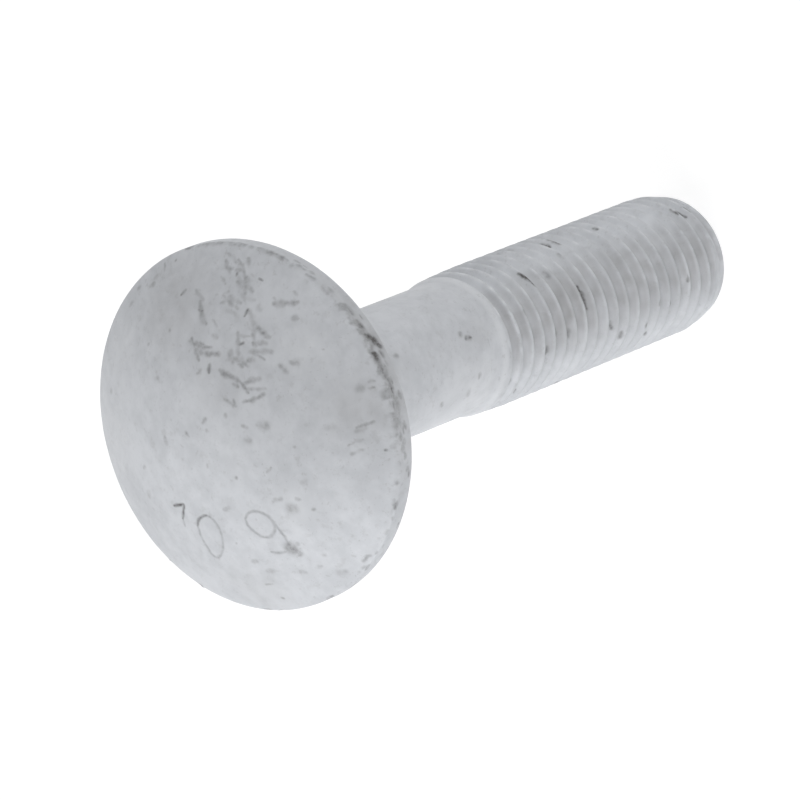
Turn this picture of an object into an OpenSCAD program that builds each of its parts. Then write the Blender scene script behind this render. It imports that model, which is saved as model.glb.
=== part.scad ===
// Round head bolt with a coarse right-hand thread, one forged and rolled piece.
// It stands on its thread end: the axis is Z, the origin is the centre of the flat end,
// and the domed head is at the top. Lengths are in millimetres.

/* [Head] */
// Diameter of the head over its rim
head_d = 38.8; // [30:0.1:48]
// Height of the head from its seat to the top of the dome
head_h = 9; // [7:0.1:14]
// Height of the upright rim between the seat and the dome
rim_h = 2.4; // [1.3:0.1:3.5]
// Radius that rounds the two edges of the rim
rim_edge_r = 0.5; // [0.1:0.05:0.6]

/* [Shank] */
// Length from the seat under the head to the flat end
bolt_len = 76; // [60:1:150]
// Diameter of the plain shank, about the pitch diameter of the thread
shank_d = 14.6; // [13.8:0.1:15.8]
// Radius of the fillet between the seat and the shank
neck_r = 0.8; // [0.2:0.1:2]

/* [Thread] */
// Diameter over the thread's crests
thread_d = 15.8; // [15:0.1:18]
// Advance of the thread in one turn, which also sets its depth and its crests
pitch = 2; // [1.5:0.05:2.5]
// Length from the flat end to the last full turn of the groove
thread_len = 42; // [20:0.5:50]
// Length from the last full turn to the collar that closes the thread
collar_len = 0.7; // [0.2:0.1:2]
// Diameter of the collar, where the crests have sunk below their full diameter
collar_d = 15.4; // [15:0.1:16]
// Length over which the last crests sink to the collar
sink_len = 4.5; // [1:0.1:8]
// Length of the cone that narrows from the collar to the shank
cone_len = 2.2; // [1:0.1:6]

/* [End] */
// Length of the lead, where the first crests rise to their full diameter
lead_len = 3.6; // [1.5:0.1:5]
// Diameter of the lead where the end chamfer starts
lead_d = 14.4; // [13.8:0.1:15]
// Length of the chamfer at the end
chamfer_len = 0.6; // [0.3:0.1:1.2]
// Diameter of the flat end
end_d = 13.2; // [11:0.1:13.4]

/* [Hidden] */

// Segments of a full round, of a turn of the groove, and of the arcs in the section
$fn = 96;
turn_steps = 32;
dome_steps = 36;
edge_steps = 6;

// Angle at which the groove enters the flat end, and the share of a turn over which it fades out
groove_start_angle = 347;
fade_turn_share = 0.45;

// Standard thread form: flank angle, depth and crest width as shares of the pitch
flank_angle = 60;
depth_share = 0.6;
crest_share = 0.125;
// Share of a crest's width that is left between neighbouring turns of the cutter, outside the blank
mouth_gap_share = 0.2;

// How far the cutter reaches past the widest diameter that it cuts
overrun = 0.4;

head_r = head_d / 2;
shank_r = shank_d / 2;
crest_r = thread_d / 2;
crest_w = crest_share * pitch;
thread_depth = depth_share * pitch;
collar_z = thread_len + collar_len;
seat_z = bolt_len;
top_z = seat_z + head_h;

// The dome is a ball that the upper rim rounding touches without a crease
edge_mid_r = head_r - rim_edge_r;
edge_low_z = seat_z + rim_edge_r;
edge_high_z = seat_z + rim_h - rim_edge_r;
dome_rise = top_z - edge_high_z;
dome_r = (pow(edge_mid_r, 2) + pow(dome_rise, 2) - pow(rim_edge_r, 2)) / (2 * (dome_rise - rim_edge_r));
dome_mid_z = top_z - dome_r;
dome_angle = atan2(edge_high_z - dome_mid_z, edge_mid_r);

// Points of an arc round a centre, from one angle to another, with or without the first point
function arc(centre, r, from, to, steps, first = 0) =
    [for (i = [first : steps])
        let (a = from + (to - from) * i / steps)
        centre + r * [cos(a), sin(a)]];

// Half section of the blank, from the flat end up to the top of the dome
blank_section = concat(
    [
        [0, 0],
        [end_d / 2, 0],
        [lead_d / 2, chamfer_len],
        [crest_r, lead_len],
        [crest_r, collar_z - sink_len],
        [collar_d / 2, collar_z],
        [shank_r, collar_z + cone_len]
    ],
    arc([shank_r + neck_r, seat_z - neck_r], neck_r, 180, 90, edge_steps),
    arc([edge_mid_r, edge_low_z], rim_edge_r, -90, 0, edge_steps),
    arc([edge_mid_r, edge_high_z], rim_edge_r, 0, dome_angle, edge_steps),
    arc([0, dome_mid_z], dome_r, dome_angle, 90, dome_steps, 1)
);

// Section of the groove as [radius, height]: its flanks run on past the crests to the mouth,
// which then reaches straight out past the widest diameter of the threaded stretch
flank_slope = tan(flank_angle / 2);
root_r = crest_r - thread_depth;
root_half_w = (pitch - crest_w) / 2 - thread_depth * flank_slope;
mouth_half_w = (pitch - mouth_gap_share * crest_w) / 2;
mouth_r = root_r + (mouth_half_w - root_half_w) / flank_slope;
reach_r = max(mouth_r, lead_d / 2, collar_d / 2) + overrun;
groove_section = [
    [root_r, -root_half_w],
    [mouth_r, -mouth_half_w],
    [reach_r, -mouth_half_w],
    [reach_r, mouth_half_w],
    [mouth_r, mouth_half_w],
    [root_r, root_half_w]
];

// The groove starts below the flat end, and lifts out of the thread after its last full turn
groove_turns = thread_len / pitch + 1;
groove_rings = round((groove_turns + fade_turn_share) * turn_steps);
groove_lift = mouth_r - root_r;
function lift(turn) = groove_lift * max(0, turn - groove_turns) / fade_turn_share;
function groove_ring(turn) =
    let (a = groove_start_angle + 360 * turn)
    [for (p = groove_section)
        [(p.x + lift(turn)) * cos(a), (p.x + lift(turn)) * sin(a), p.y + pitch * (turn - 1)]];

// Body of the bolt without its thread
module blank() {
    rotate_extrude()
        polygon(blank_section);
}

// Cutter for the thread: the groove's section swept along a right-hand helix
module thread_groove() {
    sides = len(groove_section);
    points = [for (i = [0 : groove_rings]) each groove_ring(i / turn_steps)];
    walls = [for (i = [0 : groove_rings - 1], j = [0 : sides - 1])
        let (k = (j + 1) % sides, here = i * sides, next = here + sides)
        each [[here + j, here + k, next + k], [here + j, next + k, next + j]]];
    first_cap = [for (j = [sides - 1 : -1 : 0]) j];
    last_cap = [for (j = [0 : sides - 1]) groove_rings * sides + j];
    polyhedron(points, concat([first_cap], walls, [last_cap]));
}

// The whole bolt, pale grey from its zinc coat
module bolt() {
    color("lightgray")
        difference() {
            blank();
            thread_groove();
        }
}

bolt();
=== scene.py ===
import math
import random

import bmesh
import bpy
from mathutils import Matrix, Vector, geometry, noise
from mathutils.kdtree import KDTree


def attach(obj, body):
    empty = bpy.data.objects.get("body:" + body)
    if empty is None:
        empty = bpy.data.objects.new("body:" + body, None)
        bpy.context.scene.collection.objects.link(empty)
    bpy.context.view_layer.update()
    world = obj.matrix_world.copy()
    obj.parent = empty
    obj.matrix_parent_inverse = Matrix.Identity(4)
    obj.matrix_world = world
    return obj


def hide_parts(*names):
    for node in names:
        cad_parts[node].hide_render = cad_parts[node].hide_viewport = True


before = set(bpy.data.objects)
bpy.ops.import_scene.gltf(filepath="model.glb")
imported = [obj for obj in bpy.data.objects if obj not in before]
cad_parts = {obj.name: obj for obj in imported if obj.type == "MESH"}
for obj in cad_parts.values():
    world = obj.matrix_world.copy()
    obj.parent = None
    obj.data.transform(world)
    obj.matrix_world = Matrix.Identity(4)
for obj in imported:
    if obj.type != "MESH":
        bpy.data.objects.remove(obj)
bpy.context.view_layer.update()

# The bolt stands on its thread end with its axis along Z. The mesh is shaped in millimetres,
# and scaled to metres when it is done.
MM = 0.001

# Head, as in the solid
HEAD_R = 19.4
RIM_H = 2.4
EDGE_R = 0.5
SEAT_Z = 76.0
TOP_Z = 85.0
EDGE_MID_R = HEAD_R - EDGE_R
EDGE_LOW_Z = SEAT_Z + EDGE_R
EDGE_HIGH_Z = SEAT_Z + RIM_H - EDGE_R
DOME_RISE = TOP_Z - EDGE_HIGH_Z
DOME_R = (EDGE_MID_R**2 + DOME_RISE**2 - EDGE_R**2) / (2 * (DOME_RISE - EDGE_R))
DOME_MID_Z = TOP_Z - DOME_R
DOME_ANGLE = math.atan2(EDGE_HIGH_Z - DOME_MID_Z, EDGE_MID_R)

# Shank and thread, as in the solid
SHANK_R = 7.3
NECK_R = 0.8
CREST_R = 7.9
PITCH = 2.0
GROOVE_AT_END = math.radians(347)
LAST_FULL_TURN_Z = 42.0
FADE_TURN = 0.45
FADE_LIFT = 1.373
COLLAR_Z = 42.7

# Outline of the threaded stretch without its groove, as (height, radius): chamfer, lead,
# full crests, sunken last crests, collar and cone
ENVELOPE = ((0.0, 6.6), (0.6, 7.2), (3.6, CREST_R), (38.2, CREST_R), (COLLAR_Z, 7.7),
            (43.0, 7.66), (43.5, 7.54), (44.1, 7.38), (44.9, SHANK_R), (60.0, SHANK_R))
# Height at which the threaded stretch is joined to the shank
JOIN_Z = 45.4

# The coat has rounded the thread's crests and roots to a wave, and filled part of its depth,
# less so beside the collar, as (height, depth), and less so on one side of the bolt
GROOVE_DEPTHS = ((0.0, 0.52), (35.0, 0.54), (40.5, 0.72), (60.0, 0.72))
CREST_SHARPNESS = 0.8
DEEP_SIDE = math.radians(340)
DEEP_SIDE_GAIN = 0.5
SHALLOW_SHARE = 0.72

# Rows and steps of the mesh. The thread starts some turns below the flat end, where it is cut off.
GROOVE_ROWS = 14
TURNS_BELOW_END = 2.5
TURN_STEPS = 96
TURN_DOUBLINGS = 5
END_RINGS = (0.97, 0.8, 0.7, 0.5)
HEAD_STEPS = 32
HEAD_DOUBLINGS = 3
SHANK_ROWS = 24
NECK_STEPS = 6
SEAT_ROWS = 12
EDGE_STEPS = 5
RIM_ROWS = 4
DOME_STEPS = 40
MERGE_GAP = 1e-3
LEVEL_GAP = 1e-4
# Direction along which the parts of the mesh are put in order
ORDER = Vector((1.618, 2.718, 31.416))


def along(table, x):
    """Value of a broken line of (x, value) points."""
    for (x0, y0), (x1, y1) in zip(table, table[1:]):
        if x <= x1:
            return y0 + (y1 - y0) * max(0.0, x - x0) / (x1 - x0)
    return table[-1][1]


def thread_radius(angle, z):
    """Radius of the threaded stretch at an angle and a height."""
    turn_share = ((angle - GROOVE_AT_END) / math.tau) % 1.0
    turn = round(z / PITCH - turn_share)
    middle_z = PITCH * (turn + turn_share)
    late = (middle_z - LAST_FULL_TURN_Z) / PITCH / FADE_TURN
    wave = 0.5 + 0.5 * math.cos(math.tau * (z - middle_z) / PITCH)
    side_share = max(SHALLOW_SHARE, 1 + DEEP_SIDE_GAIN * math.cos(angle - DEEP_SIDE))
    depth = along(GROOVE_DEPTHS, middle_z) * side_share
    groove = CREST_R - depth * wave**CREST_SHARPNESS + FADE_LIFT * max(0.0, late)
    return min(along(ENVELOPE, z), groove)


def dome_height(r):
    """Height of the head's upper face at a distance from the axis."""
    if r < DOME_R * math.cos(DOME_ANGLE):
        return DOME_MID_Z + math.sqrt(DOME_R**2 - r**2)
    over = min(1.0, max(0.0, (r - EDGE_MID_R) / EDGE_R))
    return EDGE_HIGH_Z + EDGE_R * math.sqrt(1.0 - over**2)


def chain(bm, points):
    """A row of joined vertices, as a profile for a spin."""
    verts = [bm.verts.new(p) for p in points]
    return verts + [bm.edges.new(pair) for pair in zip(verts, verts[1:])]


def rim_edges(bm, z):
    """The open edges that lie at one height."""
    return [e for e in bm.edges
            if e.is_boundary and all(abs(v.co.z - z) < LEVEL_GAP for v in e.verts)]


def repeated(bm, geom, doublings, matrix):
    """Doubles a stretch again and again, each time moved on by the same screw or turn."""
    for i in range(doublings):
        copy = bmesh.ops.duplicate(bm, geom=geom)["geom"]
        verts = [g for g in copy if isinstance(g, bmesh.types.BMVert)]
        bmesh.ops.transform(bm, matrix=matrix, verts=verts)
        geom, matrix = geom + copy, matrix @ matrix
    return geom


def everything(bm):
    """All vertices, edges and faces, as an operator's geometry."""
    return bm.verts[:] + bm.edges[:] + bm.faces[:]


def cut_flat(bm, z, **sides):
    """Cuts all faces at one height, and drops what lies on a side that is to be cleared."""
    bmesh.ops.bisect_plane(bm, geom=everything(bm), dist=LEVEL_GAP, plane_co=(0, 0, z),
                           plane_no=(0, 0, 1), **sides)


def settle(bm):
    """Puts the parts of the mesh in order of place, so that each run makes the same mesh."""
    bm.verts.sort(key=lambda v: v.co.dot(ORDER))
    bm.edges.sort(key=lambda e: (e.verts[0].co + e.verts[1].co).dot(ORDER))
    bm.faces.sort(key=lambda f: f.calc_center_median().dot(ORDER))


def roll_thread(bm):
    """The threaded stretch: one turn's profile screwed up the axis, and cut off flat."""
    rows = [i / GROOVE_ROWS - TURNS_BELOW_END for i in range(GROOVE_ROWS + 1)]
    profile = chain(bm, [(CREST_R, 0, PITCH * row) for row in rows])
    bmesh.ops.rotate(bm, verts=bm.verts[:], matrix=Matrix.Rotation(GROOVE_AT_END, 3, "Z"))
    bmesh.ops.spin(bm, geom=profile, axis=(0, 0, 1), cent=(0, 0, 0), angle=math.tau,
                   steps=TURN_STEPS, dvec=(0, 0, PITCH / TURN_STEPS))
    repeated(bm, everything(bm), TURN_DOUBLINGS, Matrix.Translation((0, 0, PITCH)))
    bmesh.ops.remove_doubles(bm, verts=bm.verts[:], dist=MERGE_GAP)
    cut_flat(bm, 0.0, clear_inner=True)
    cut_flat(bm, JOIN_Z, clear_outer=True)
    for z, r in ENVELOPE[1:-1]:
        cut_flat(bm, z)
    for v in bm.verts:
        angle = math.atan2(v.co.y, v.co.x)
        v.co.xy = thread_radius(angle, v.co.z) * Vector((math.cos(angle), math.sin(angle)))
    settle(bm)


def close_end(bm):
    """The flat end, in rings that shrink to the axis."""
    ring = rim_edges(bm, 0.0)
    for shrink in END_RINGS:
        made = bmesh.ops.extrude_edge_only(bm, edges=ring)["geom"]
        ring = [g for g in made if isinstance(g, bmesh.types.BMEdge)]
        verts = [g for g in made if isinstance(g, bmesh.types.BMVert)]
        bmesh.ops.scale(bm, vec=(shrink, shrink, 1), verts=verts)
    bmesh.ops.pointmerge(bm, verts=verts, merge_co=(0, 0, 0))


def arc(mid, r, start, end, steps):
    """Points (radius, height) of an arc round a middle, both ends included."""
    angles = [start + (end - start) * i / steps for i in range(steps + 1)]
    return [(mid[0] + r * math.cos(a), mid[1] + r * math.sin(a)) for a in angles]


def turn_head(bm):
    """Shank, seat, rim and dome: one profile spun round the axis."""
    shank_top = SEAT_Z - NECK_R
    shank_len = shank_top - JOIN_Z
    seat_start = SHANK_R + NECK_R
    seat_width = EDGE_MID_R - seat_start
    rim_len = EDGE_HIGH_Z - EDGE_LOW_Z
    quarter = math.pi / 2
    profile = [(SHANK_R, JOIN_Z + shank_len * i / SHANK_ROWS) for i in range(SHANK_ROWS)]
    profile += arc((seat_start, shank_top), NECK_R, math.pi, quarter, NECK_STEPS)
    profile += [(seat_start + seat_width * i / SEAT_ROWS, SEAT_Z) for i in range(1, SEAT_ROWS)]
    profile += arc((EDGE_MID_R, EDGE_LOW_Z), EDGE_R, -quarter, 0, EDGE_STEPS)
    profile += [(HEAD_R, EDGE_LOW_Z + rim_len * i / RIM_ROWS) for i in range(1, RIM_ROWS)]
    profile += arc((EDGE_MID_R, EDGE_HIGH_Z), EDGE_R, 0, DOME_ANGLE, EDGE_STEPS)
    profile += arc((0, DOME_MID_Z), DOME_R, DOME_ANGLE, quarter, DOME_STEPS)[1:]
    wedge = math.tau / 2**HEAD_DOUBLINGS
    made = chain(bm, [(r, 0, z) for r, z in profile])
    bmesh.ops.spin(bm, geom=made, axis=(0, 0, 1), cent=(0, 0, 0), angle=wedge, steps=HEAD_STEPS)
    repeated(bm, everything(bm), HEAD_DOUBLINGS, Matrix.Rotation(wedge, 4, "Z"))
    bmesh.ops.remove_doubles(bm, verts=bm.verts[:], dist=MERGE_GAP)


# Marks, each with a half width and a tone, where a tone of 1 is bare of coat.
# Strength-class numbers, stamped along the head's edge: (half width, tone, depth, points as x, y)
STAMPED_NUMBERS = (
    (0.15, 0.95, 0.1, ((-4.6, 8.7), (-4.65, 8.1), (-4.85, 7.0))),
    (0.14, 0.9, 0.1, ((-4.85, 7.0), (-5.4, 7.6), (-6.2, 8.45))),
    (0.1, 0.35, 0.06, ((-6.2, 8.45), (-7.0, 8.8))),
    (0.15, 0.8, 0.09, ((-7.4, 6.8), (-6.9, 6.2), (-6.65, 5.3), (-6.75, 4.6))),
    (0.15, 0.42, 0.08, ((-6.75, 4.6), (-7.2, 4.15), (-8.2, 4.0), (-9.2, 4.25))),
    (0.13, 0.3, 0.06, ((-9.2, 4.25), (-10.4, 5.2), (-11.05, 6.3))),
    (0.15, 0.4, 0.08, ((-11.05, 6.3), (-11.15, 7.1), (-10.7, 7.5), (-9.7, 7.45), (-8.5, 7.25),
                        (-7.4, 6.8))),
    (0.15, 0.42, 0.08, ((-8.5, 0.0), (-8.1, -0.7), (-8.15, -1.6), (-8.7, -2.4), (-9.5, -2.8),
                        (-10.4, -2.6), (-11.0, -1.9), (-11.1, -1.1), (-10.7, -0.4),
                        (-9.9, 0.0), (-9.2, 0.2), (-8.5, 0.0))),
    (0.15, 0.4, 0.08, ((-9.2, -2.75), (-10.4, -2.85), (-11.7, -2.9), (-12.7, -2.65))),
    (0.14, 0.45, 0.08, ((-13.15, -1.9), (-13.0, -1.0), (-12.6, -0.2))),
)
# Smears, scratches and specks on the head: (half width, tone, then the points as x, y, x, y)
HEAD_SMEARS = (
    (0.42, 0.8, -12.5, -2.6, -13.1, -2.8, -13.6, -2.9), (0.3, 0.75, -12.9, -2.2, -13.5, -3.4),
    (0.26, 0.55, -13.2, -2.9, -14.1, -3.0), (0.2, 0.5, -12.7, -2.7, -12.9, -3.7),
    (0.16, 0.75, 3.1, -5.1, 2.5, -4.8), (0.16, 0.5, 2, -3.6, 1.7, -3.5),
    (0.14, 0.5, 2.4, -1, 2.1, -0.5), (0.12, 0.6, 1.3, -0.6, 1.2, -0.5),
    (0.13, 0.75, 1.95, 2.15, 1.3, 1.95), (0.29, 0.5, 2.2, 5.4, 1.4, 5.5),
    (0.22, 0.5, 0.3, -5, 0, -5.4), (0.29, 0.42, -0.2, -6.7, -0.6, -7.6),
    (0.25, 0.4, -1.1, -4.8, -1.3, -5.2), (0.14, 0.62, -4.7, -6, -5, -5.2),
    (0.12, 0.85, -4.3, -1.75, -4.35, -1.6), (0.1, 0.6, -3.6, -9.2, -3.6, -9.3),
    (0.22, 0.4, -7.2, -8, -7.2, -8.6), (0.2, 0.45, -7.9, -4.2, -7.9, -5.2),
    (0.18, 0.55, -8.6, -6.7, -8.8, -7), (0.4, 0.5, -9.2, -5.3, -9.6, -6),
    (0.13, 0.6, -10.2, -7.5, -10.2, -7.8), (0.22, 0.42, -6.8, 1.9, -6.8, 1.1),
    (0.16, 0.42, -0.5, 4, -0.6, 4.1), (0.18, 0.4, -2, 1, -2.3, 1.2),
    (0.18, 0.42, 0.2, 10.6, 0.2, 11), (0.29, 0.4, -2.3, 12, -2.7, 12.5),
    (0.14, 0.6, 7, -1.6, 7.1, -2.3), (0.22, 0.66, 5.8, -4.6, 5.5, -5.4),
    (0.22, 0.42, 8.1, 4, 8.1, 4.5), (0.18, 0.42, 11.6, 4.5, 11.7, 4.8),
    (0.12, 0.55, 12.2, 1, 12.1, 1.1), (0.25, 0.62, 4.3, -12, 4, -12.8),
    (0.1, 0.5, 4.4, -15.2, 4.3, -15.3), (0.13, 0.6, -0.4, -18, -0.5, -18.5),
    (0.13, 0.6, -1, -17.8, -1.1, -18.3), (0.13, 0.6, -4.2, -15.4, -4.2, -16.2, -4.3, -17),
    (0.2, 0.4, -4.5, -15.2, -4.6, -16.3), (0.13, 0.5, -5.5, -14, -5.4, -14.8, -5.5, -15.5),
    (0.15, 0.42, -6.5, -13.8, -6.4, -15), (0.36, 0.36, -3.1, -13, -3.3, -13.6),
    (0.1, 0.75, -7.3, -16.55, -7.35, -16.7), (0.29, 0.36, -0.7, -16.8, -0.8, -17.3),
    (0.22, 0.4, -12.9, 2.8, -12.9, 2.2), (0.22, 0.42, -14.4, 2, -14.5, 1.3),
    (0.14, 0.5, -15.6, 3.6, -15.8, 2.7), (0.16, 0.55, -17.4, 3.4, -17.6, 3),
    (0.22, 0.42, -15.6, -1.5, -15.9, -2), (0.18, 0.45, -15.8, -3.3, -15.9, -4.1),
    (0.16, 0.42, -14.8, -5, -14.9, -5.4), (0.32, 0.42, -17.2, -5, -17.3, -5.7),
    (0.17, 0.55, -16.9, -7.9, -16.6, -9.1), (0.12, 0.55, -10.5, 3.1, -10.55, 3.2),
    (0.16, 0.58, 18.7, 1.7, 17.9, 1.6), (0.1, 0.7, 18.6, -0.1, 18.55, 0),
    (0.22, 0.42, 17.8, 2.9, 17.7, 3.3), (0.29, 0.45, 17.3, 3.2, 17.2, 3.9),
    (0.22, 0.4, 17.5, 5.7, 17.4, 6.1), (0.22, 0.42, 16.4, 7.2, 16.2, 7.7),
    (0.22, 0.38, 8.9, 13.2, 8.8, 13.6),
)
# Chips along the rim: (height, angle, to height, to angle, half width, tone)
RIM_CHIPS = (
    (78.2, 356, 78.2, 353, 0.16, 0.55), (78.2, 343, 78.2, 341, 0.15, 0.4),
    (78.2, 337, 78.2, 335, 0.15, 0.4), (78.15, 331, 78.15, 330, 0.15, 0.4),
    (78.15, 328, 78.15, 319, 0.26, 0.55), (78.15, 351, 78.1, 333, 0.26, 0.32),
    (77.9, 313, 77.9, 312, 0.18, 0.4),
    (77.8, 309, 77.8, 307, 0.2, 0.36), (77.9, 301, 77.9, 299, 0.2, 0.4),
    (77.9, 293, 77.9, 290, 0.26, 0.45), (77.95, 287, 77.8, 285, 0.26, 1),
    (78.0, 282.6, 77.5, 280, 0.26, 0.95), (77.7, 281, 76.9, 277.4, 0.3, 1),
    (78.2, 276.6, 78.1, 274.5, 0.26, 1), (78.05, 275, 77.95, 268, 0.32, 0.62),
    (77.9, 269, 77.8, 264.4, 0.26, 0.6), (77.85, 264.6, 77.75, 263.2, 0.2, 0.8),
    (77.3, 276, 77.2, 274, 0.2, 0.6), (76.9, 263, 76.9, 261, 0.2, 0.6),
    (77.6, 260, 77.6, 256, 0.26, 0.4), (77.1, 254, 77.1, 252, 0.2, 0.5),
    (78, 251, 78, 249, 0.2, 0.45), (77.7, 248, 77.7, 246, 0.2, 0.42),
    (77.5, 245, 77.5, 243, 0.17, 0.45), (78.2, 229, 78.2, 227, 0.2, 0.6),
    (78.2, 219, 78.2, 218, 0.2, 0.5), (78.1, 205, 78.1, 203, 0.18, 0.4),
    (78.2, 186, 78.2, 184, 0.2, 0.5), (78.2, 161, 78.2, 158, 0.18, 0.6),
    (78.2, 134, 78.2, 133, 0.16, 0.7), (78.2, 120, 78.2, 119, 0.16, 0.65),
    (78.2, 81, 78.2, 79, 0.16, 0.5),
)
# Beads of coat that stand out at the rim: (angle, height, half width, rise)
RIM_BEADS = ((134, 77.9, 0.4, 0.16), (120, 77.9, 0.35, 0.14), (163, 77.6, 0.5, 0.12))
# Nicks on shank and thread: (height, angle, to height, to angle, half width, tone)
SHANK_NICKS = (
    (48.9, 272, 47.8, 271, 0.22, 0.72), (49.5, 276, 49.2, 277, 0.26, 0.42),
    (47.5, 238, 47.6, 235, 0.23, 0.5), (49.2, 225, 49, 222, 0.26, 0.42),
    (54, 224, 53.6, 221, 0.26, 0.45), (60.7, 280, 60.3, 279, 0.23, 0.4),
)
THREAD_NICKS = (
    (35.05, 306, 34.6, 290, 0.17, 1), (32, 314, 32.5, 305, 0.17, 0.8),
    (27.55, 277, 27.45, 257, 0.17, 1), (28.4, 268, 28.2, 262, 0.15, 0.6),
    (33.8, 251, 33.7, 246, 0.26, 0.5), (35.4, 238, 35.5, 233, 0.22, 0.5),
    (31.4, 246, 31.3, 240, 0.22, 0.55), (31.2, 299, 31.2, 293, 0.24, 0.5),
    (24.7, 338, 24.8, 320, 0.22, 1), (25.6, 336, 25.5, 326, 0.2, 0.9),
    (29.8, 349, 29.8, 341, 0.3, 1), (23.8, 348, 23.9, 342, 0.28, 1),
    (17.3, 326, 17.2, 321, 0.15, 0.9), (13.8, 300, 13.8, 296, 0.15, 0.9),
    (14.4, 305, 14.3, 301, 0.13, 0.8), (16, 298, 16, 294, 0.2, 0.45),
    (8.7, 252, 8.7, 248, 0.16, 0.9), (11.8, 236, 11.7, 231, 0.18, 0.8),
    (14.3, 241, 14.2, 237, 0.2, 0.6), (23.3, 238, 23.2, 232, 0.2, 0.6),
    (20.9, 224, 20.8, 219, 0.2, 0.6), (15, 212, 14.9, 208, 0.16, 0.9),
    (16.2, 224, 16.1, 221, 0.18, 0.7), (5, 311, 4.9, 303, 0.13, 1),
    (3.8, 313, 3.4, 300, 0.14, 1), (2.6, 309, 2.5, 302, 0.13, 0.8),
    (41.5, 220, 41.3, 216, 0.2, 0.6), (41.5, 206, 41.3, 203, 0.2, 0.6),
    (39, 204, 38.9, 200, 0.18, 0.6), (20, 269, 19.9, 264, 0.22, 0.45),
    (38.5, 275, 38.3, 270, 0.24, 0.45), (12.6, 330, 12.5, 324, 0.15, 0.6),
    (27, 310, 26.9, 305, 0.2, 0.4),
)
SCRATCH_DEPTH = 0.05
CHIP_DEPTH = 0.12
NICK_DEPTH = 0.1
NICK_PARTS = 4
SMEAR_TONE = 0.72

# How far a stroke's place, width and tone waver
NUMBER_WAVER = 0.25
SCUFF_WAVER = 0.5
NICK_WAVER = 0.7
SMEAR_WAVER = 0.8
FLECK_WAVER = 0.8
WAVER_RATES = (2.7, 1.9)
DRIFT_SHIFTS = (Vector((9.3, 0, 0)), Vector((0, 9.3, 0)), Vector((0, 0, 9.3)))
STROKE_STEP = 0.07
STROKE_TONE = 0.85
THIN_END = 0.75
EASE_POINTS = 9

# Marks drawn by chance. Scuffs on the head lie about these middles, as (x, y).
SCUFFED_SPOTS = ((16.4, -6.8), (15.0, -8.4), (15.0, -10.2), (13.1, -9.2), (12.4, -7.4),
                 (9.9, -12.2), (10.4, -10.2), (11.8, -3.8), (9.4, -3.6), (7.8, -9.2),
                 (6.6, -10.6), (8.5, -7.4), (5.2, -6.0), (3.4, -7.6))
SCUFF_LIE = (0.5, 0.55)
SCUFF_SPOT_TONES = (0.65, 1.0)
SCUFF_COUNTS = (3, 6)
SCUFF_SPREAD = 1.1
SCUFF_TURN = 0.3
SCUFF_REACHES = (0.3, 0.5, 0.8, 1.2)
SCUFF_BENDS = (-0.2, 0.2)
SCUFF_HALF_WIDTHS = (0.13, 0.26)
SCUFF_TONES = (0.3, 0.6)
SCUFF_LIMIT_R = 18.2
# Short dark dashes among the scuffs: middle and spread in x and in y
DASHES = 7
DASH_X = (10, 4)
DASH_Y = (-7.5, 3)
DASH_REACHES = (0.12, 0.4)
DASH_HALF_WIDTHS = (0.1, 0.16)
DASH_TONES = (0.55, 0.85)
# Flecks on the rim's knocked side: middle and spread in angle and in height
FLECKS = 44
FLECK_ANGLE = (274, 28)
FLECK_Z = (78.05, 0.45)
FLECK_TOP_Z = 78.36
FLECK_LENGTHS = (0.6, 3.5)
FLECK_HALF_WIDTHS = (0.08, 0.22)
FLECK_TONES = (0.15, 0.3)
FLECK_NEAR_TONE = 0.3
FLECK_NEAR_SPREAD = 50
# Nicks on the far side of shank and thread, and chips on the far side of the rim
FAR_NICKS = 34
FAR_NICK_Z = (2, 74)
FAR_NICK_ANGLES = (-5, 195)
FAR_NICK_LENGTHS = (2, 9)
FAR_NICK_HALF_WIDTHS = (0.12, 0.24)
FAR_NICK_TONES = (0.35, 0.75)
FAR_CHIPS = 24
FAR_CHIP_ANGLES = (0, 240)
FAR_CHIP_Z = (76.6, 78.3)
FAR_CHIP_POINTS = (2, 4)
FAR_CHIP_HALF_WIDTHS = (0.1, 0.22)
FAR_CHIP_TONES = (0.25, 0.65)
DRAW_SEED = 9


def head_place(x, y):
    """Place on the head's upper face, by x and y."""
    return Vector((x, y, dome_height(math.hypot(x, y))))


def side_place(angle, z):
    """Place on the rim, the shank or the thread, by angle in degrees and height."""
    a = math.radians(angle)
    if z < SEAT_Z:
        r = thread_radius(a, z)
    else:
        up_edge = max(0.0, (z - EDGE_HIGH_Z) / EDGE_R)
        r = EDGE_MID_R + EDGE_R * math.sqrt(max(0.0, 1 - up_edge**2))
    return Vector((r * math.cos(a), r * math.sin(a), z))


def eased(points):
    """A smooth line through a row of places."""
    ends = [2 * points[0] - points[1]] + points + [2 * points[-1] - points[-2]]
    made = []
    for before, a, b, after in zip(ends, ends[1:], ends[2:], ends[3:]):
        bend_a, bend_b = a + (b - before) / 6, b - (after - a) / 6
        made += geometry.interpolate_bezier(a, bend_a, bend_b, b, EASE_POINTS)[:-1]
    return made + [points[-1]]


def drift(place):
    """Noise in three directions, the same in each run."""
    return Vector([noise.noise(place + shift) for shift in DRIFT_SHIFTS])


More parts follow.
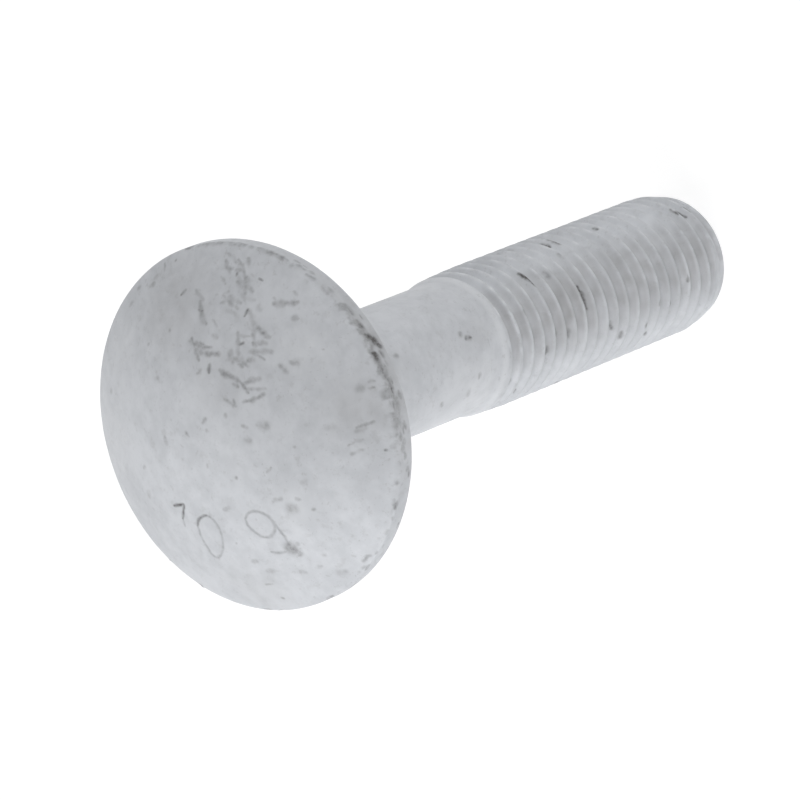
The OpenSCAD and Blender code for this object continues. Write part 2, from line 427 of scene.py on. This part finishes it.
def stroke(half_width, tone, depth, places, waver=SCUFF_WAVER):
    """Close points along a smooth line whose width, place and tone waver."""
    made = []
    line = eased(places)
    whole = sum((b - a).length for a, b in zip(line, line[1:])) or 1.0
    done = 0.0
    for a, b in zip(line, line[1:]):
        length = (b - a).length
        steps = max(1, math.ceil(length / STROKE_STEP))
        for i in range(steps):
            here = a.lerp(b, i / steps)
            on_arch = math.pi * (done + length * i / steps) / whole
            swell = THIN_END + (1 - THIN_END) * math.sin(on_arch)
            wide, dark = [noise.noise(here * rate) for rate in WAVER_RATES]
            here += drift(here * WAVER_RATES[0]) * waver * half_width
            made.append((here, half_width * swell * (1 + waver * wide),
                         tone * (STROKE_TONE + waver * dark), depth))
        done += length
    return made


def head_scuffs(draw):
    """Short strokes that lie nearly alike at each scuffed spot."""
    made = []
    for spot in SCUFFED_SPOTS:
        lie, spot_tone = draw.gauss(*SCUFF_LIE), draw.uniform(*SCUFF_SPOT_TONES)
        for i in range(draw.randint(*SCUFF_COUNTS)):
            x, y = [draw.gauss(middle, SCUFF_SPREAD) for middle in spot]
            turn, reach = draw.gauss(lie, SCUFF_TURN), draw.choice(SCUFF_REACHES)
            bend = draw.uniform(*SCUFF_BENDS)
            half_width = draw.uniform(*SCUFF_HALF_WIDTHS)
            tone = spot_tone * draw.uniform(*SCUFF_TONES)
            if math.hypot(x, y) > SCUFF_LIMIT_R:
                continue
            dx, dy = reach * math.cos(turn), reach * math.sin(turn)
            places = [head_place(x - dx, y - dy), head_place(x - bend * dy, y + bend * dx),
                      head_place(x + dx, y + dy)]
            made += stroke(half_width, tone, SCRATCH_DEPTH, places)
    return made


def head_dashes(draw):
    """Short dark dashes among the scuffs."""
    made = []
    for i in range(DASHES):
        x, y, turn = draw.gauss(*DASH_X), draw.gauss(*DASH_Y), draw.uniform(0, math.pi)
        reach = draw.uniform(*DASH_REACHES)
        dx, dy = reach * math.cos(turn), reach * math.sin(turn)
        places = [head_place(x - dx, y - dy), head_place(x + dx, y + dy)]
        made += stroke(draw.uniform(*DASH_HALF_WIDTHS), draw.uniform(*DASH_TONES), SCRATCH_DEPTH,
                       places)
    return made


def rim_flecks(draw):
    """Flecks on the rim, darker where it has been knocked most."""
    made = []
    lightest, darkest = FLECK_TONES
    for i in range(FLECKS):
        angle, z = draw.gauss(*FLECK_ANGLE), min(FLECK_TOP_Z, draw.gauss(*FLECK_Z))
        near = max(0.0, 1 - abs(angle - FLECK_ANGLE[0]) / FLECK_NEAR_SPREAD)
        places = [side_place(angle, z), side_place(angle + draw.uniform(*FLECK_LENGTHS), z)]
        made += stroke(draw.uniform(*FLECK_HALF_WIDTHS),
                       draw.uniform(lightest, darkest + FLECK_NEAR_TONE * near),
                       CHIP_DEPTH, places, FLECK_WAVER)
    return made


def far_nicks(draw):
    """Nicks on the far side of shank and thread."""
    made = []
    for i in range(FAR_NICKS):
        z, angle = draw.uniform(*FAR_NICK_Z), draw.uniform(*FAR_NICK_ANGLES)
        places = [side_place(angle, z), side_place(angle + draw.uniform(*FAR_NICK_LENGTHS), z)]
        made += stroke(draw.uniform(*FAR_NICK_HALF_WIDTHS), draw.uniform(*FAR_NICK_TONES),
                       NICK_DEPTH, places)
    return made


def far_chips(draw):
    """Chips on the far side of the rim."""
    made = []
    for i in range(FAR_CHIPS):
        angle, z = draw.uniform(*FAR_CHIP_ANGLES), draw.uniform(*FAR_CHIP_Z)
        places = [side_place(angle + k, z) for k in range(draw.randint(*FAR_CHIP_POINTS))]
        made += stroke(draw.uniform(*FAR_CHIP_HALF_WIDTHS), draw.uniform(*FAR_CHIP_TONES),
                       CHIP_DEPTH, places)
    return made


def all_marks():
    """Every mark as close points with a half width, a tone and a depth."""
    made = []
    for half_width, tone, depth, points in STAMPED_NUMBERS:
        made += stroke(half_width, tone, depth, [head_place(x, y) for x, y in points],
                       NUMBER_WAVER)
    for half_width, tone, *points in HEAD_SMEARS:
        places = [head_place(x, y) for x, y in zip(points[::2], points[1::2])]
        made += stroke(half_width, SMEAR_TONE * tone, SCRATCH_DEPTH, places, SMEAR_WAVER)
    for z0, angle0, z1, angle1, half_width, tone in RIM_CHIPS + SHANK_NICKS + THREAD_NICKS:
        places = [side_place(angle0 + (angle1 - angle0) * i / NICK_PARTS,
                             z0 + (z1 - z0) * i / NICK_PARTS) for i in range(NICK_PARTS + 1)]
        made += stroke(half_width, tone, NICK_DEPTH, places, NICK_WAVER)
    for angle, z, half_width, rise in RIM_BEADS:
        made.append((side_place(angle, z), half_width, 0.0, -rise))
    draw = random.Random(DRAW_SEED)
    for drawn in (head_scuffs, head_dashes, rim_flecks, far_nicks, far_chips):
        made += drawn(draw)
    return made


# Splitting of faces near the marks: a fine edge is a share of a mark's half width, and an edge so
# many times longer is split, within so many half widths of the mark
REFINE_LEVELS = 3
FINEST_EDGE = 0.09
FINE_SHARE = 0.55
LONG_EDGE = 1.5
REFINE_REACH = 2.2
# Widest half width that is looked for, and the half widths over which a mark fades out
WIDEST_MARK = 0.6
FALL_OFF = 2.0
# The flat end and the joint with the shank keep clear of the thread's own shape
FLAT_END_Z = 0.01
JOIN_GAP = 0.1

# Uneven thickness of the coat
COAT_WAVE = 0.03
COAT_WAVE_MEAN = 0.9
COAT_WAVE_SWING = 0.5
COAT_WAVE_RATE = 0.35

# Wear along the rim's upper edge
WORN_EDGE_R = 19.2
WORN_EDGE_Z = 78.15
WORN_EDGE_REACH = 0.9
WORN_EDGE_RATE = 0.9
WORN_EDGE_NOISE = (0.8, 2.0, 4)
WORN_EDGE_BIAS = 0.9
WORN_FROM = 0.55
WORN_OVER = 0.4
EDGE_WEAR = 0.42
KNOCKED_SIDE = math.radians(272)
KNOCKED_SPREAD = math.radians(46)

# Dirt on the rim; dirt on the thread with painted shade in its grooves; pale lumps of coat with a
# painted highlight on the thread's crests
DIRT_AND_SHADE_RATE = 0.7
DIRT_AND_SHADE_SWING = 0.7
# Groove depth over which the painted shade grows
GROOVE_SHADE_DEPTH = 0.25
RIM_DIRT = 0.36
RIM_DIRT_SIDE = math.radians(277)
RIM_DIRT_FOCUS = 5
# Dirt on the thread and painted shade in its grooves, most on one side of the bolt
THREAD_DIRT_AND_SHADE = 0.5
THREAD_DIRT_AND_SHADE_SIDE = math.radians(267)
THREAD_DIRT_AND_SHADE_SPREAD = math.radians(46)
THREAD_DIRT_AND_SHADE_FAR = 0.1
CREST_DIRT = 0.32
# Pale lumps of coat and a painted highlight on the thread's crests, on one side
LUMP_AND_HIGHLIGHT_RATE = 0.9
LUMP_AND_HIGHLIGHT_EDGE = 2.5
LUMP_AND_HIGHLIGHT_PALE = 0.6
LUMP_AND_HIGHLIGHT_SIDE = math.radians(300)
# Broad patches of painted shade and painted light: (x, y, z, reach, tone), where a tone above 0
# darkens and below 0 lightens
PATCHES = (
    (14, 0, 81, 7, 0.26), (-2.5, -16, 80, 5.5, 0.24), (5, -4, 84, 6, 0.12), (-15.5, 5, 80, 6, 0.16),
    (5, 16, 80, 9, -0.34), (13, 10, 80, 5, -0.25), (4.5, -13, 81, 4.5, -0.32),
    (-1, -1, 85, 4.5, -0.18), (-9, -6, 83, 4, -0.25),
    # The darker patch at the top of the shank is the head's painted shadow; the lighter one low on
    # the shank is painted light
    (-5.6, -4.7, 49, 7, -0.36), (0, -7.3, 63, 5, 0.18), (0, -7.3, 46.5, 3, 0.14),
    (-0.9, -7.8, 30, 5, 0.22), (-0.7, -7.8, 18, 5, 0.14), (5.5, -5.5, 12, 9, -0.1),
)


def true_place(co):
    """Puts a place between two vertices back on the round that they lie on."""
    angle = math.atan2(co.y, co.x)
    r = math.hypot(co.x, co.y)
    if co.z < JOIN_Z - JOIN_GAP:
        r = thread_radius(angle, co.z) if co.z > FLAT_END_Z else r
    elif JOIN_Z < co.z < SEAT_Z - NECK_R:
        r = SHANK_R
    elif co.z > EDGE_HIGH_Z + EDGE_R and r < EDGE_MID_R:
        return Vector((co.x, co.y, dome_height(r)))
    return Vector((r * math.cos(angle), r * math.sin(angle), co.z))


def refine(bm, marks, tree):
    """Splits the faces near the marks, so that each mark has points of its own to sink."""
    for level in range(REFINE_LEVELS):
        edges = {}
        for f in bm.faces:
            co, index, gap = tree.find(f.calc_center_median())
            fine = max(FINEST_EDGE, FINE_SHARE * marks[index][1])
            long_edges = [e for e in f.edges if e.calc_length() > LONG_EDGE * fine]
            longest = max([e.calc_length() for e in long_edges], default=0.0)
            if gap < REFINE_REACH * marks[index][1] + longest / 2:
                edges.update(dict.fromkeys(long_edges))
        before = set(bm.verts)
        bmesh.ops.subdivide_edges(bm, edges=list(edges), cuts=1, use_grid_fill=True)
        for v in bm.verts:
            if v not in before:
                v.co = true_place(v.co)
        settle(bm)


def sink_marks(bm):
    """Sinks the marks and notes on each vertex how far its coat is rubbed off."""
    marks = all_marks()
    tree = KDTree(len(marks))
    for i, mark in enumerate(marks):
        tree.insert(mark[0], i)
    tree.balance()
    refine(bm, marks, tree)
    bm.normal_update()
    rubbed = bm.verts.layers.float.new("rubbed")
    soiled_and_shaded = bm.verts.layers.float.new("soiled_and_shaded")
    for v in bm.verts:
        worn = edge_wear(v.co)
        wave = COAT_WAVE_MEAN + COAT_WAVE_SWING * noise.noise(v.co * COAT_WAVE_RATE)
        depth = COAT_WAVE * wave + CHIP_DEPTH * worn
        rise = 0.0
        for co, index, gap in tree.find_range(v.co, FALL_OFF * WIDEST_MARK):
            half_width, tone, sink = marks[index][1:]
            near = max(0.0, 1 - gap / half_width)
            sink *= near * near * (3 - 2 * near)
            depth, rise = max(depth, sink), min(rise, sink)
            worn = max(worn, tone * max(0.0, 1 - (gap / half_width / FALL_OFF)**2)**2)
        v[rubbed] = min(1.0, worn)
        # Dirt, painted shade and painted light on the coat
        v[soiled_and_shaded] = dirt_and_shade(v.co)
        if v.co.z > FLAT_END_Z:
            v.co -= v.normal * (depth + rise)


def turned_from(co, side):
    """Angle of a place round the axis, away from a given side."""
    return (math.atan2(co.y, co.x) - side + math.pi) % math.tau - math.pi


def edge_wear(co):
    """Ragged wear along the rim's upper edge, on the side that has been knocked."""
    gap = math.hypot(math.hypot(co.x, co.y) - WORN_EDGE_R, co.z - WORN_EDGE_Z)
    heavy = 1 - (turned_from(co, KNOCKED_SIDE) / KNOCKED_SPREAD)**2
    if gap > WORN_EDGE_REACH or heavy < 0:
        return 0.0
    ragged = noise.fractal(co * WORN_EDGE_RATE, *WORN_EDGE_NOISE)
    ragged += WORN_EDGE_BIAS * heavy * (1 - gap / WORN_EDGE_REACH)
    return EDGE_WEAR * heavy * min(1.0, max(0.0, (ragged - WORN_FROM) / WORN_OVER))


def dirt_and_shade(co):
    """Dirt on the rim's upright face, dirt and painted shade in the thread's grooves, a painted
    highlight with pale lumps on the crests, and broad patches of painted shade and painted light.
    """
    r = math.hypot(co.x, co.y)
    # Broad patches of painted shade and painted light
    made = sum(tone * max(0.0, 1 - ((co - Vector(place)).length / reach)**2)**2
               for *place, reach, tone in PATCHES)
    if r > EDGE_MID_R:
        facing = max(0.0, math.cos(turned_from(co, RIM_DIRT_SIDE)))**RIM_DIRT_FOCUS
        made += RIM_DIRT * facing * min(1.0, (r - EDGE_MID_R) / EDGE_R)
    elif co.z < COLLAR_Z:
        # Dirt on the thread, and painted shade that grows towards the groove roots, most on one
        # side
        turned = turned_from(co, THREAD_DIRT_AND_SHADE_SIDE) / THREAD_DIRT_AND_SHADE_SPREAD
        facing = THREAD_DIRT_AND_SHADE_FAR + (1 - THREAD_DIRT_AND_SHADE_FAR) * max(0.0, 1 - turned**2)
        deep = min(1.0, max(0.0, along(ENVELOPE, co.z) - r) / GROOVE_SHADE_DEPTH)
        made += THREAD_DIRT_AND_SHADE * facing * (CREST_DIRT + (1 - CREST_DIRT) * deep)
        # Pale lumps of coat and a painted highlight on the crests, on one side of the bolt
        lumps_and_highlight = min(1.0, max(0.0, LUMP_AND_HIGHLIGHT_EDGE * noise.noise(co * LUMP_AND_HIGHLIGHT_RATE)))
        facing = max(0.0, math.cos(turned_from(co, LUMP_AND_HIGHLIGHT_SIDE)))
        made -= LUMP_AND_HIGHLIGHT_PALE * lumps_and_highlight * (1 - deep)**2 * facing
    return made * (1 + DIRT_AND_SHADE_SWING * noise.noise(co * DIRT_AND_SHADE_RATE))


def shape_bolt():
    """The bolt's mesh: head and shank, thread and end joined, then the marks."""
    bm = bmesh.new()
    turn_head(bm)
    head = bpy.data.meshes.new("head")
    bm.to_mesh(head)
    bm.clear()
    roll_thread(bm)
    close_end(bm)
    bm.from_mesh(head)
    bpy.data.meshes.remove(head)
    bmesh.ops.bridge_loops(bm, edges=rim_edges(bm, JOIN_Z))
    bmesh.ops.recalc_face_normals(bm, faces=bm.faces[:])
    sink_marks(bm)
    bmesh.ops.scale(bm, vec=(MM, MM, MM), verts=bm.verts[:])
    for f in bm.faces:
        f.smooth = True
    mesh = bpy.data.meshes.new("bolt_body")
    bm.to_mesh(mesh)
    bm.free()
    return mesh


# Camera: the line of sight lies this far off the bolt's axis, and the axis leans this far
# above the picture's own level
PICTURE = 800
FOCAL_PIXELS = 6197
SIGHT_OFF_AXIS = math.radians(39.46)
AXIS_LEAN = math.radians(22)
# Pixel at which the middle of the seat is seen, and its distance in millimetres
SEAT_PIXEL = (260.6, 422.4)
SEAT_DEPTH = 633.8
SENSOR = 36
CLIP = (0.01, 20)


def place_camera():
    """Camera at the photograph's viewing angle."""
    data = bpy.data.cameras.new("camera")
    data.sensor_width = SENSOR
    data.lens = SENSOR * FOCAL_PIXELS / PICTURE
    camera = bpy.data.objects.new("camera", data)
    bpy.context.scene.collection.objects.link(camera)
    roll = -(math.pi / 2 + AXIS_LEAN)
    turned = Matrix.Rotation(SIGHT_OFF_AXIS, 3, "X") @ Matrix.Rotation(roll, 3, "Z")
    across, up, back = turned.col
    scale = SEAT_DEPTH / FOCAL_PIXELS
    seat = Vector((0, 0, SEAT_Z))
    place = seat - across * (SEAT_PIXEL[0] - PICTURE / 2) * scale
    place += up * (SEAT_PIXEL[1] - PICTURE / 2) * scale + back * SEAT_DEPTH
    camera.matrix_world = Matrix.Translation(place * MM) @ turned.to_4x4()
    data.clip_start, data.clip_end = CLIP
    bpy.context.scene.camera = camera


# Softboxes round the bolt: (name, angle and elevation in degrees, watts)
SOFTBOXES = (("left_softbox", 180, 8, 1.9), ("near_softbox", 270, 8, 1.2),
             ("right_softbox", 0, 8, 0.7), ("high_left_softbox", 180, 35, 1.2),
             ("high_back_softbox", 135, 35, 1.25), ("high_far_softbox", 90, 35, 1.3),
             ("high_right_softbox", 315, 35, 1.05))
SOFTBOX_SIDE = 0.4
SOFTBOX_DISTANCE = 0.8
SOFTBOX_AIM = Vector((0, 0, 0.05))

# Room and floor: the paper lights the bolt as plain white paper does, and is seen nearly white,
# with the bolt's shadow on it
WHITE = (1, 1, 1, 1)
ROOM_LIGHT = 0.2
FLOOR_HALF_SIDE = 3
PAPER = (0.9, 0.9, 0.9, 1)
SHADE_PAPER = (0.35, 0.35, 0.35, 1)
FLOOR_GLOW = 0.82


def light_bolt():
    """Softboxes that face the bolt and are not seen themselves."""
    for name, angle, elevation, watts in SOFTBOXES:
        data = bpy.data.lights.new(name, "AREA")
        data.shape = "SQUARE"
        data.size = SOFTBOX_SIDE
        data.energy = watts
        lamp = bpy.data.objects.new(name, data)
        bpy.context.scene.collection.objects.link(lamp)
        a, e = math.radians(angle), math.radians(elevation)
        away = Vector((math.cos(e) * math.cos(a), math.cos(e) * math.sin(a), math.sin(e)))
        lamp.location = SOFTBOX_AIM + away * SOFTBOX_DISTANCE
        lamp.rotation_euler = (-away).to_track_quat("-Z", "Y").to_euler()
        lamp.visible_camera = False


def node(tree, kind, values=(), **settings):
    """Adds a node, sets its options, and sets or links its inputs by name."""
    made = tree.nodes.new(kind)
    for key, value in settings.items():
        setattr(made, key, value)
    for key, value in dict(values).items():
        if isinstance(value, bpy.types.NodeSocket):
            tree.links.new(value, made.inputs[key])
        else:
            made.inputs[key].default_value = value
    return made


def lit_by_eye(tree):
    """1 for rays that the camera, a glossy face or a clear one sends out, else 0."""
    path = node(tree, "ShaderNodeLightPath")
    glossy = node(tree, "ShaderNodeMath", {0: path.outputs["Is Camera Ray"],
                                           1: path.outputs["Is Glossy Ray"]},
                  operation="MAXIMUM")
    return node(tree, "ShaderNodeMath", {0: glossy.outputs[0],
                                         1: path.outputs["Is Transmission Ray"]},
                operation="MAXIMUM").outputs[0]


def light_world():
    """Dim even light on the bolt from a room that is seen white."""
    world = bpy.data.worlds.new("studio")
    bpy.context.scene.world = world
    world.use_nodes = True
    tree = world.node_tree
    tree.nodes.clear()
    strength = node(tree, "ShaderNodeMapRange", {"Value": lit_by_eye(tree), "To Min": ROOM_LIGHT,
                                                 "To Max": 1.0})
    back = node(tree, "ShaderNodeBackground", {"Color": WHITE,
                                               "Strength": strength.outputs[0]})
    node(tree, "ShaderNodeOutputWorld", {"Surface": back.outputs[0]})


def lay_floor():
    """Sheet of white paper under the bolt."""
    bm = bmesh.new()
    bmesh.ops.create_grid(bm, x_segments=1, y_segments=1, size=FLOOR_HALF_SIDE)
    mesh = bpy.data.meshes.new("floor")
    bm.to_mesh(mesh)
    bm.free()
    floor = bpy.data.objects.new("floor", mesh)
    bpy.context.scene.collection.objects.link(floor)
    paper = bpy.data.materials.new("white_paper")
    paper.use_nodes = True
    tree = paper.node_tree
    tree.nodes.clear()
    matt = node(tree, "ShaderNodeBsdfDiffuse", {"Color": PAPER})
    glow = node(tree, "ShaderNodeEmission", {"Color": WHITE, "Strength": FLOOR_GLOW})
    shade = node(tree, "ShaderNodeBsdfDiffuse", {"Color": SHADE_PAPER})
    seen = node(tree, "ShaderNodeAddShader", {0: glow.outputs[0], 1: shade.outputs[0]})
    mix = node(tree, "ShaderNodeMixShader", {0: lit_by_eye(tree), 1: matt.outputs[0],
                                             2: seen.outputs[0]})
    node(tree, "ShaderNodeOutputMaterial", {"Surface": mix.outputs[0]})
    mesh.materials.append(paper)


# Colours of the coat, its smears, dirt and painted shade, its painted light and pale lumps, and
# what is under it
PALE_COAT = (0.64, 0.657, 0.687, 1)
GREY_COAT = (0.56, 0.577, 0.606, 1)
COLLAR_COAT = (0.74, 0.755, 0.78, 1)
CLEAN_AND_LIT_COAT = (0.78, 0.795, 0.82, 1)
SMEAR_AND_SHADE = (0.33, 0.33, 0.335, 1)
BARE_DARK = (0.1, 0.096, 0.095, 1)
# Height of the pale bead of coat on the collar
COLLAR_BEAD_Z = 43.2

# Noise in the coat: (patches to the millimetre, detail, roughness)
CLOUDS = (0.16, 4.0, 0.55)
BLOTCHES = (0.75, 5.0, 0.6)
GRAIN = (5.0, 3.0, 0.55)
WIDE_SMEARS = (0.6, 5.0, 0.7)
SMALL_SMEARS = (1.4, 4.0, 0.65)
SPECKS = (3.2, 2.0, 0.55)
RAGGED = (2.4, 5.0, 0.65)
# Smooth steps, from 0 at the first value to 1 at the second, or to the third number
GREY_STEP = (0.36, 0.64)
COLLAR_STEP = (0.7, 0.1, 0.4)
SMEARED_STEP = (0.35, 0.6)
WIDE_STEP = (0.56, 0.68, 0.2)
SMALL_STEP = (0.58, 0.68, 0.25)
SPECK_STEP = (0.66, 0.75, 0.36)
RAGGED_STEP = (0.35, 0.65)
# Shares of the noises, where a pair is a factor and what is added to it
CLOUD_SHARE = 0.6
BLOTCH_SHARE = 0.4
SMEARED_SHARE = (0.6, 0.4)
RAGGED_SHARE = (0.45, 0.7)
BUMP_SHARE = 0.5
# Surface of the coat, with its bump in millimetres
BUMP_STRENGTH = 0.5
BUMP_DEPTH = 0.03
ROUGHNESS = (0.52, 0.68)
METALLIC = 0.2


def cloud(tree, place, rate, detail, rough):
    """Noise with so many patches to the millimetre."""
    made = node(tree, "ShaderNodeTexNoise", {"Vector": place, "Scale": rate, "Detail": detail,
                                             "Roughness": rough})
    return made.outputs["Fac"]


def step_up(tree, value, low, high, top=1.0):
    """Smooth step of a value from 0 at low to top at high."""
    made = node(tree, "ShaderNodeMapRange", {"Value": value, "From Min": low, "From Max": high,
                                             "To Max": top}, interpolation_type="SMOOTHSTEP")
    return made.outputs[0]


def sums(tree, operation, *values):
    """One arithmetic node over two or three values."""
    return node(tree, "ShaderNodeMath", dict(enumerate(values)), operation=operation).outputs[0]


def over(tree, share, under, colour):
    """Lays a colour over another."""
    made = node(tree, "ShaderNodeMix", {0: share, 6: under, 7: colour}, data_type="RGBA")
    return made.outputs[2]


def zinc_coat():
    """Matt zinc coat: clouded pale grey, smeared and specked, darkened by dirt and painted shade,
    lightened by painted light, rubbed to dark at the marks.
    """
    coat = bpy.data.materials.new("zinc_coat")
    coat.use_nodes = True
    tree = coat.node_tree
    tree.nodes.clear()
    spot = node(tree, "ShaderNodeTexCoord").outputs["Object"]
    place = node(tree, "ShaderNodeMapping", {"Vector": spot, "Scale": (1 / MM,) * 3}).outputs[0]

    clouds = cloud(tree, place, *CLOUDS)
    blotches = cloud(tree, place, *BLOTCHES)
    grain = cloud(tree, place, *GRAIN)
    tone = sums(tree, "ADD", sums(tree, "MULTIPLY", clouds, CLOUD_SHARE),
                sums(tree, "MULTIPLY", blotches, BLOTCH_SHARE))
    colour = over(tree, step_up(tree, tone, *GREY_STEP), PALE_COAT, GREY_COAT)

    height_up = node(tree, "ShaderNodeSeparateXYZ", {0: place}).outputs["Z"]
    off_collar = sums(tree, "ABSOLUTE", sums(tree, "SUBTRACT", height_up, COLLAR_BEAD_Z))
    colour = over(tree, step_up(tree, off_collar, *COLLAR_STEP), colour, COLLAR_COAT)

    smeared = step_up(tree, clouds, *SMEARED_STEP)
    wide = step_up(tree, cloud(tree, place, *WIDE_SMEARS), *WIDE_STEP)
    small = step_up(tree, cloud(tree, place, *SMALL_SMEARS), *SMALL_STEP)
    specks = step_up(tree, cloud(tree, place, *SPECKS), *SPECK_STEP)
    smears = sums(tree, "MAXIMUM", sums(tree, "MAXIMUM", wide, small), specks)
    smears = sums(tree, "MULTIPLY", smears, sums(tree, "MULTIPLY_ADD", smeared, *SMEARED_SHARE))
    colour = over(tree, smears, colour, SMEAR_AND_SHADE)

    # Dirt and painted shade darken the coat; painted light and pale lumps with a painted highlight
    # lighten it
    soiled_and_shaded = node(tree, "ShaderNodeAttribute", attribute_name="soiled_and_shaded").outputs["Fac"]
    colour = over(tree, soiled_and_shaded, colour, SMEAR_AND_SHADE)
    colour = over(tree, sums(tree, "MULTIPLY", soiled_and_shaded, -1.0), colour, CLEAN_AND_LIT_COAT)
    rubbed = node(tree, "ShaderNodeAttribute", attribute_name="rubbed").outputs["Fac"]
    ragged = step_up(tree, cloud(tree, place, *RAGGED), *RAGGED_STEP)
    bare = sums(tree, "MULTIPLY", rubbed, sums(tree, "MULTIPLY_ADD", ragged, *RAGGED_SHARE))
    colour = over(tree, bare, colour, BARE_DARK)

    height = sums(tree, "MULTIPLY_ADD", blotches, BUMP_SHARE,
                  sums(tree, "MULTIPLY", grain, BUMP_SHARE))
    height = sums(tree, "SUBTRACT", height, bare)
    bump = node(tree, "ShaderNodeBump", {"Height": height, "Strength": BUMP_STRENGTH,
                                         "Distance": BUMP_DEPTH * MM})
    rough = node(tree, "ShaderNodeMapRange", {"Value": blotches, "To Min": ROUGHNESS[0],
                                              "To Max": ROUGHNESS[1]})
    shader = node(tree, "ShaderNodeBsdfPrincipled", {
        "Base Color": colour, "Roughness": rough.outputs[0], "Metallic": METALLIC,
        "Normal": bump.outputs[0]})
    node(tree, "ShaderNodeOutputMaterial", {"Surface": shader.outputs[0]})
    return coat


place_camera()
light_world()
lay_floor()
light_bolt()

bolt_body = bpy.data.objects.new("bolt_body", shape_bolt())
bpy.context.scene.collection.objects.link(bolt_body)
bolt_body.data.materials.append(zinc_coat())
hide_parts("bolt")
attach(bolt_body, "root")

bpy.context.scene.view_settings.view_transform = "Standard"
